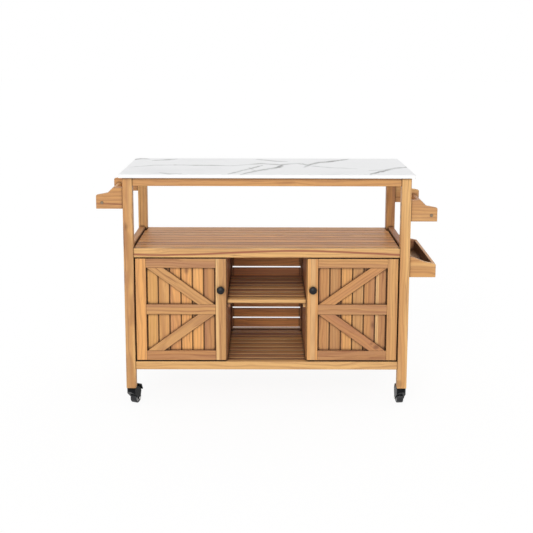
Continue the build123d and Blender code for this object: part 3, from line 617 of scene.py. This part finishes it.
def stone():
    """Polished white stone with faint clouds and thin grey veins."""
    tree = Tree("polished_stone")
    place = tree.place()
    spot = tree.join(*place)
    grains = tree.noise(spot, *GRAINS)
    rough = tree.math("MULTIPLY_ADD", grains, GRAIN_ROUGHNESS, STONE_ROUGHNESS)
    return tree.finish(
        Base_Color=stone_colour(tree, place, spot), Roughness=rough,
        Normal=tree.bump(grains, GRAIN_HEIGHT), Specular_IOR_Level=STONE_GLOSS,
    )


# Casters, knobs and metalwork

# Noise for worn and dull places and for brushing, as scale and detail, and the detail of a moulded skin
WORN_PLACES = (60.0, 3.0)
DULL_PLACES = (45.0, 3.0)
BRUSHING = (700.0, 2.0)
SKIN_DETAIL = 3.0

# How worn plastic and dulled metal differ from new: in colour, where that starts and is full, how far it
# goes, and in roughness
WORN_GAIN = 1.5
WORN_HAZE = 0.004
WORN_FADE = (0.48, 0.80)
WORN_DEPTH = 0.6
DULL_GAIN = 0.7
DULL_FADE = (0.4, 0.8)
DULL_DEPTH = 0.5
WORN_ROUGHNESS = 0.2

# Height of the metal's brushing in metres
BRUSHING_HEIGHT = 0.00003


def moulded(name, colour, roughness, grain, depth, gloss):
    """Moulded plastic or rubber, with a fine skin texture and slightly worn places in the tone."""
    tree = Tree(name)
    spot = tree.join(*tree.place())
    skin = tree.noise(spot, grain, SKIN_DETAIL)
    worn = tree.noise(spot, *WORN_PLACES)
    pale = tuple(value * WORN_GAIN + WORN_HAZE for value in colour)
    return tree.finish(
        Base_Color=tree.mix(tree.step(worn, *WORN_FADE, 0.0, WORN_DEPTH), colour, pale),
        Roughness=tree.math("MULTIPLY_ADD", worn, WORN_ROUGHNESS, roughness),
        Normal=tree.bump(skin, depth), Specular_IOR_Level=gloss,
    )


def metal(name, colour, roughness):
    """Metal with fine brushing and a little dulling."""
    tree = Tree(name)
    spot = tree.join(*tree.place())
    brushed = tree.noise(spot, *BRUSHING)
    dull = tree.noise(spot, *DULL_PLACES)
    dim = tuple(value * DULL_GAIN for value in colour)
    return tree.finish(
        Base_Color=tree.mix(tree.step(dull, *DULL_FADE, 0.0, DULL_DEPTH), colour, dim), Metallic=1.0,
        Roughness=tree.math("MULTIPLY_ADD", dull, WORN_ROUGHNESS, roughness),
        Normal=tree.bump(brushed, BRUSHING_HEIGHT),
    )


# Which wood each piece gets: its grain, its boards side by side along each axis, and its tone

WOODEN = {
    "post_front_left": (Z, {}, 0.07),
    "post_front_right": (Z, {}, 0.04),
    "post_rear_left": (Z, {}, 0.0),
    "post_rear_right": (Z, {}, -0.02),
    "top_apron_front": (X, {}, -0.13),
    "top_apron_rear": (X, {}, 0.0),
    "shelf_rail_front": (X, {}, 0.06),
    "shelf_rail_rear": (X, {}, 0.0),
    "bottom_rail_front": (X, {}, 0.10),
    "bottom_rail_rear": (X, {}, 0.0),
    "side_rails": (Y, {X: 2, Z: 3}, 0.0),
    "worktop_battens": (Y, {X: 3}, 0.0),
    "shelf_slats": (X, {Y: 9}, 0.0),
    "floor_slats": (X, {Y: 9}, -0.08),
    "shelf_cleats": (Y, {X: 2, Z: 2}, -0.04),
    "partitions": (Z, {X: 2}, -0.08),
    "corner_battens": (Z, {X: 4, Y: 2}, -0.02),
    "back_boards": (X, {Z: 9}, -0.08),
    "side_boards": (Y, {X: 2, Z: 9}, 0.0),
    "bay_shelf_slats": (X, {Y: 7}, -0.17),
    "bay_shelf_cleats": (Y, {X: 2}, -0.04),
    "towel_arms": (X, {X: 2, Y: 2}, 0.0),
    "towel_bars": (Y, {X: 2}, 0.0),
    "spice_rack_ends": (X, {Y: 2}, 0.02),
    "spice_rack_boards": (Y, {}, 0.0),
}
for side in ("left", "right"):
    WOODEN[f"door_{side}_stiles"] = (Z, {X: 2}, 0.04)
    WOODEN[f"door_{side}_rails"] = (X, {Z: 3}, 0.0)
    WOODEN[f"door_{side}_slats"] = (Z, {X: 6}, 0.0)
    WOODEN[f"door_{side}_braces"] = ("brace", {Z: 2}, 0.0)

# Tints of the boards that differ most: from left to right, from front to back, or from the lowest up
TINTS = {
    "shelf_slats": (RUSSET, AMBER, RUSSET, AMBER, WARM, AMBER, REDDISH, AMBER, WARM),
    "door_left_slats": (YELLOW, HONEY, GOLDEN, GOLDEN, GOLDEN, PINKISH),
    "door_right_slats": (PINKISH, DARK_PINK, BRIGHT, GREYISH, PINKISH, PURPLISH),
    "door_left_stiles": (GOLDEN, GREYISH),
    "door_right_stiles": (GOLDEN, PLAIN),
    "door_left_rails": (PINKISH, SANDY, SANDY),
    "door_right_rails": (PURPLISH, SANDY, SANDY),
    "door_left_braces": (PALE_SAND, SANDY),
    "door_right_braces": (REDDISH, HONEY),
    "towel_arms": (PLAIN, SANDY),
    "back_boards": (RUSTY,) * 9,
}

# Knots that stand out: sideways place, height, half width, half height and strength
SPOTS = {
    "post_front_left": ((-0.534, 0.713, 0.013, 0.026, 0.45), (-0.548, 0.690, 0.008, 0.050, 0.30)),
    "post_front_right": ((0.515, 0.092, 0.014, 0.014, 0.28), (0.545, 0.299, 0.006, 0.030, 0.30)),
    "door_left_slats": ((-0.309, 0.539, 0.014, 0.022, 0.60),),
    "door_right_slats": ((0.410, 0.324, 0.010, 0.020, 0.55), (0.330, 0.420, 0.008, 0.016, 0.30)),
    "door_right_braces": ((0.424, 0.238, 0.014, 0.011, 0.55), (0.405, 0.252, 0.008, 0.007, 0.35)),
}

# Pale stripes of sapwood up a board, between two sideways places
STRIPES = {
    "door_left_stiles": ((-0.1970, -0.1840),),
    "door_right_stiles": ((0.1680, 0.1870),),
    "door_right_slats": ((0.4190, 0.4310),),
}

# Pieces whose grain is stronger or weaker than usual
CONTRAST = {
    "post_front_left": 1.8,
    "post_front_right": 1.1,
    "towel_arms": 1.7,
    "spice_rack_ends": 1.6,
    "shelf_rail_front": 1.4,
    "shelf_slats": 1.7,
    "door_left_rails": 1.6,
    "door_right_rails": 1.8,
}

# Slats seen from above: the gap between them, and how strong the painted highlight on their front and the
# painted shade on their rear edges are
SLAT_EDGES = {
    "floor_slats": (0.00475, 0.70, 0.70),
    "bay_shelf_slats": (0.00800, 0.80, 0.95),
    "shelf_slats": (0.00475, 0.30, 0.30),
}

# How far round the edges of a piece are eased, where that is more than usual
EDGE_ROUND = {
    "floor_slats": 0.009,
    "bay_shelf_slats": 0.010,
    "shelf_slats": 0.005,
}

# How far into the open a corner or gap is darkened with painted shade, where that is more than usual
PAINTED_SHADE_REACH = {
    "spice_rack_boards": 0.100,
    "spice_rack_ends": 0.020,
}


# Moulded materials: colour, roughness, fineness and depth of the skin's grain, and gloss
MOULDED = {
    "black_plastic": ((0.005, 0.0055, 0.007), 0.16, 900.0, 0.00004, 0.11),
    "grey_plastic": ((0.480, 0.485, 0.490), 0.35, 700.0, 0.00005, 0.40),
    "matt_plastic": ((0.006, 0.0065, 0.008), 0.34, 900.0, 0.00004, 0.05),
    "dark_rubber": ((0.016, 0.017, 0.020), 0.30, 500.0, 0.00010, 0.35),
    "black_lacquer": ((0.004, 0.0045, 0.006), 0.22, 1200.0, 0.00003, 0.30),
}

# Metals: colour and roughness
METALS = {
    "plated_steel": ((0.62, 0.61, 0.58), 0.28),
    "dark_steel": ((0.045, 0.042, 0.040), 0.35),
    "dull_bolts": ((0.27, 0.20, 0.135), 0.48),
}

# Which material each other piece gets, by the start of its name
FINISHES = {
    "worktop_slab": "polished_stone",
    "caster_fork": "black_plastic",
    "brake_lever": "matt_plastic",
    "door_catches": "black_plastic",
    "caster_tread": "dark_rubber",
    "caster_hub": "grey_plastic",
    "caster_axle": "plated_steel",
    "caster_stems": "dark_steel",
    "rack_screws": "dull_bolts",
    "pivot_bushes": "dark_steel",
    "door_left_knob": "black_lacquer",
    "door_right_knob": "black_lacquer",
    "door_left_metalwork": "dark_steel",
    "door_right_metalwork": "dark_steel",
}


def dress(node, material):
    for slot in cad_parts[node].material_slots:
        slot.material = material


def dress_cart():
    """Gives every piece of the cart its material."""
    for number, (node, (grain, parts, tone)) in enumerate(WOODEN.items()):
        dress(node, wood(node, grain, parts, tone, SEED_STEP * number))
    materials = {"polished_stone": stone()}
    for name, look in MOULDED.items():
        materials[name] = moulded(name, *look)
    for name, look in METALS.items():
        materials[name] = metal(name, *look)
    for start, name in FINISHES.items():
        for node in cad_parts:
            if node.startswith(start):
                dress(node, materials[name])


# Camera


def make_camera():
    data = bpy.data.cameras.new("view")
    camera = bpy.data.objects.new("view", data)
    bpy.context.scene.collection.objects.link(camera)
    data.sensor_width = SENSOR_WIDTH
    data.lens = CAMERA_FOCUS_PIXELS * SENSOR_WIDTH / PICTURE_SIZE
    data.shift_y = CAMERA_SHIFT_UP
    camera.location = CAMERA_PLACE
    turn = Matrix.Rotation(CAMERA_TURN, 4, "Z") @ Matrix.Rotation(math.pi / 2 - CAMERA_PITCH, 4, "X")
    camera.rotation_euler = (turn @ Matrix.Rotation(CAMERA_ROLL, 4, "Z")).to_euler()
    bpy.context.scene.camera = camera


# Floor, sky and light


def seen_directly(nodes, links):
    """1 for what is seen straight, in a reflection or through glass, and 0 for light on the object."""
    path = nodes.new("ShaderNodeLightPath")
    total = path.outputs["Is Camera Ray"]
    for name in ("Is Glossy Ray", "Is Transmission Ray"):
        largest = nodes.new("ShaderNodeMath")
        largest.operation = "MAXIMUM"
        links.new(total, largest.inputs[0])
        links.new(path.outputs[name], largest.inputs[1])
        total = largest.outputs[0]
    return total


def make_sky():
    world = bpy.data.worlds.new("sky")
    bpy.context.scene.world = world
    world.use_nodes = True
    nodes, links = world.node_tree.nodes, world.node_tree.links
    strength = nodes.new("ShaderNodeMapRange")
    links.new(seen_directly(nodes, links), strength.inputs["Value"])
    strength.inputs["To Min"].default_value = SKY_LEVEL
    strength.inputs["To Max"].default_value = 1.0
    background = nodes["Background"]
    background.inputs["Color"].default_value = (1, 1, 1, 1)
    links.new(strength.outputs[0], background.inputs["Strength"])


def floor_material():
    """A matt floor that mostly glows where it is seen, so that it is white and still keeps a pale shadow."""
    material = bpy.data.materials.new("pale_floor")
    material.use_nodes = True
    nodes, links = material.node_tree.nodes, material.node_tree.links
    nodes.clear()
    matt = nodes.new("ShaderNodeBsdfDiffuse")
    matt.inputs["Color"].default_value = (*FLOOR_COLOUR, 1)
    glow = nodes.new("ShaderNodeEmission")
    glow.inputs["Strength"].default_value = FLOOR_GLOW
    share = nodes.new("ShaderNodeMath")
    share.operation = "MULTIPLY"
    links.new(seen_directly(nodes, links), share.inputs[0])
    share.inputs[1].default_value = FLOOR_GLOW_SHARE
    blend = nodes.new("ShaderNodeMixShader")
    links.new(share.outputs[0], blend.inputs[0])
    links.new(matt.outputs[0], blend.inputs[1])
    links.new(glow.outputs[0], blend.inputs[2])
    output = nodes.new("ShaderNodeOutputMaterial")
    links.new(blend.outputs[0], output.inputs["Surface"])
    return material


def make_floor():
    mesh = bpy.data.meshes.new("floor")
    corners = [(x * FLOOR_REACH, y * FLOOR_REACH, 0) for x, y in ((-1, -1), (1, -1), (1, 1), (-1, 1))]
    mesh.from_pydata(corners, [], [(0, 1, 2, 3)])
    mesh.materials.append(floor_material())
    floor = bpy.data.objects.new("floor", mesh)
    bpy.context.scene.collection.objects.link(floor)


def make_lamp(name, level, turn, height, softness):
    """A far, soft lamp. Turned 0 degrees it stands before the cart, and 90 degrees to its right."""
    data = bpy.data.lights.new(name, "SUN")
    data.energy = level * math.pi
    data.angle = math.radians(softness)
    lamp = bpy.data.objects.new(name, data)
    bpy.context.scene.collection.objects.link(lamp)
    lamp.rotation_euler = (math.radians(90 - height), 0, math.radians(turn))


dress_cart()
make_camera()
make_sky()
make_floor()
for name, settings in LAMPS.items():
    make_lamp(name, *settings)
bpy.context.scene.view_settings.view_transform = "Standard"
